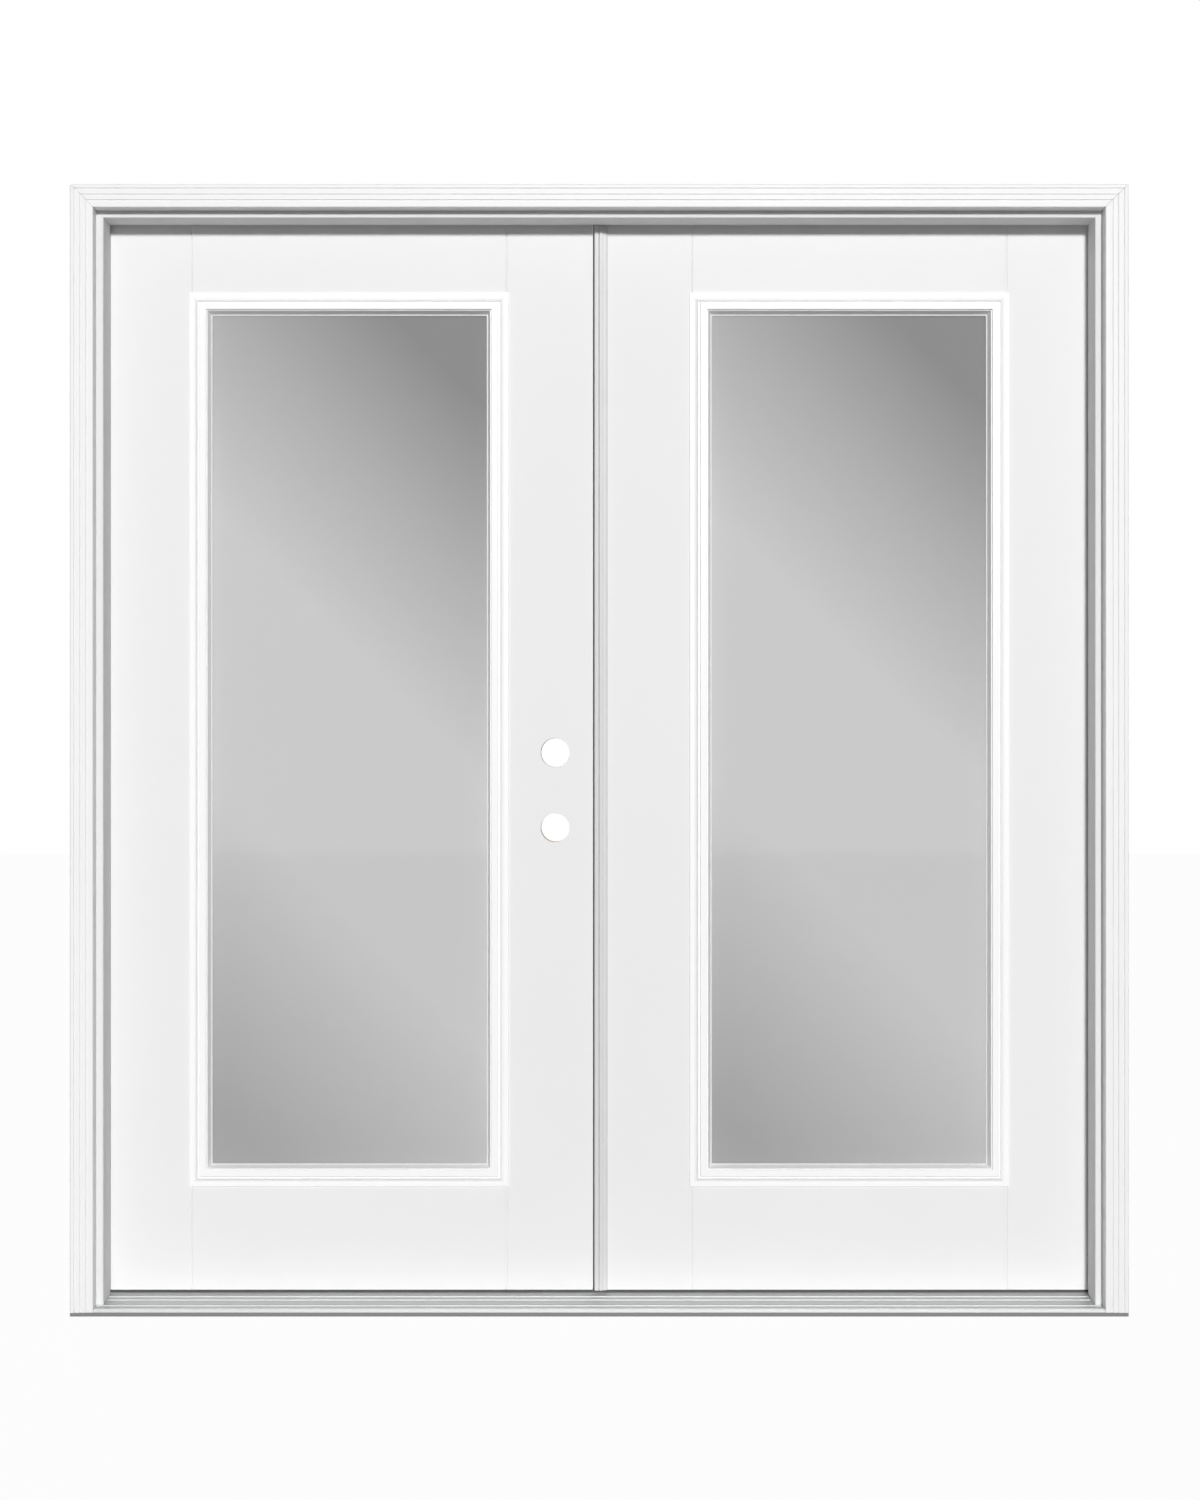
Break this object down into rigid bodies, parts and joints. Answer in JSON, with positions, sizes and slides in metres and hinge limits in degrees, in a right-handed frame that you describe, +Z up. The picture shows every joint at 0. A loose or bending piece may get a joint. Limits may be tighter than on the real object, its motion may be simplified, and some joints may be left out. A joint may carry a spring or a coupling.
{
  "type": "french doors",
  "caption": "Inward-opening pair of glazed french doors in a prehung frame with brickmould casing, aluminium sill, astragal and flush bolts.",
  "frame": {"origin": "on the underside of the sill, midway between the jambs, in the plane where the casing meets the wall", "axes": "+X right as seen from outdoors, +Y from outdoors to indoors, +Z up"},
  "size_m": [1.926, 0.1608, 2.06],
  "materials": {
    "frame_white": "satin white",
    "leaf_white": "smooth satin",
    "lite_white": "moulded satin",
    "weatherstrip_foam": "soft",
    "dark_vinyl": "matte",
    "sill_composite": "matte",
    "mill_aluminium": "mill",
    "cap_composite": "matte",
    "zinc_steel": "zinc plated",
    "hinge_steel": "satin",
    "edge_wood": "bare",
    "core_foam": "foam",
    "glass": "clear",
    "spacer_aluminium": "mill",
    "astragal_white": "satin white"
  },
  "bodies": {
    "frame": {"jamb_left": "frame_white", "jamb_right": "frame_white", "jamb_head": "frame_white", "brickmould_left": "frame_white", "brickmould_right": "frame_white", "brickmould_head": "frame_white", "weatherstrip_left": "weatherstrip_foam", "weatherstrip_right": "weatherstrip_foam", "weatherstrip_head": "weatherstrip_foam", "corner_pads": "dark_vinyl", "sill_base": "sill_composite", "sill_deck": "mill_aluminium", "threshold_cap": "cap_composite", "cap_screws": "zinc_steel", "head_strike": "zinc_steel", "frame_hinge_leaves_left": "hinge_steel", "frame_hinge_leaves_right": "hinge_steel", "hinge_pins_left": "hinge_steel", "hinge_pins_right": "hinge_steel", "frame_hinge_screws": "zinc_steel"},
    "active_leaf": {"skin_exterior_active": "leaf_white", "skin_interior_active": "leaf_white", "hinge_stile_active": "edge_wood", "lock_stile_active": "edge_wood", "top_rail_active": "edge_wood", "bottom_rail_active": "edge_wood", "core_active": "core_foam", "lite_frame_exterior_active": "lite_white", "lite_frame_interior_active": "lite_white", "pane_exterior_active": "glass", "pane_interior_active": "glass", "spacer_active": "spacer_aluminium", "lite_plugs_active": "lite_white", "sweep_active": "dark_vinyl", "hinge_leaves_active": "hinge_steel", "hinge_screws_active": "zinc_steel", "lock_block_active": "edge_wood"},
    "passive_leaf": {"skin_exterior_passive": "leaf_white", "skin_interior_passive": "leaf_white", "hinge_stile_passive": "edge_wood", "lock_stile_passive": "edge_wood", "top_rail_passive": "edge_wood", "bottom_rail_passive": "edge_wood", "core_passive": "core_foam", "lite_frame_exterior_passive": "lite_white", "lite_frame_interior_passive": "lite_white", "pane_exterior_passive": "glass", "pane_interior_passive": "glass", "spacer_passive": "spacer_aluminium", "lite_plugs_passive": "lite_white", "sweep_passive": "dark_vinyl", "hinge_leaves_passive": "hinge_steel", "hinge_screws_passive": "zinc_steel", "astragal": "astragal_white", "astragal_seal": "dark_vinyl"},
    "flush_bolt_top": {"flush_bolt_top": "zinc_steel"},
    "flush_bolt_bottom": {"flush_bolt_bottom": "zinc_steel"}
  },
  "joints": [
    {"name": "active_swing", "type": "hinge", "parent": "frame", "child": "active_leaf", "pos_m": [-0.91925, 0.1225, 0], "axis": [0, 0, 1], "range_deg": [0, 170]},
    {"name": "passive_swing", "type": "hinge", "parent": "frame", "child": "passive_leaf", "pos_m": [0.91925, 0.1225, 0], "axis": [0, 0, -1], "range_deg": [0, 170]},
    {"name": "flush_bolt_top_slide", "type": "slide", "parent": "passive_leaf", "child": "flush_bolt_top", "axis": [0, 0, 1], "range_m": [0, 0.016]},
    {"name": "flush_bolt_bottom_slide", "type": "slide", "parent": "passive_leaf", "child": "flush_bolt_bottom", "axis": [0, 0, -1], "range_m": [0, 0.016]}
  ]
}
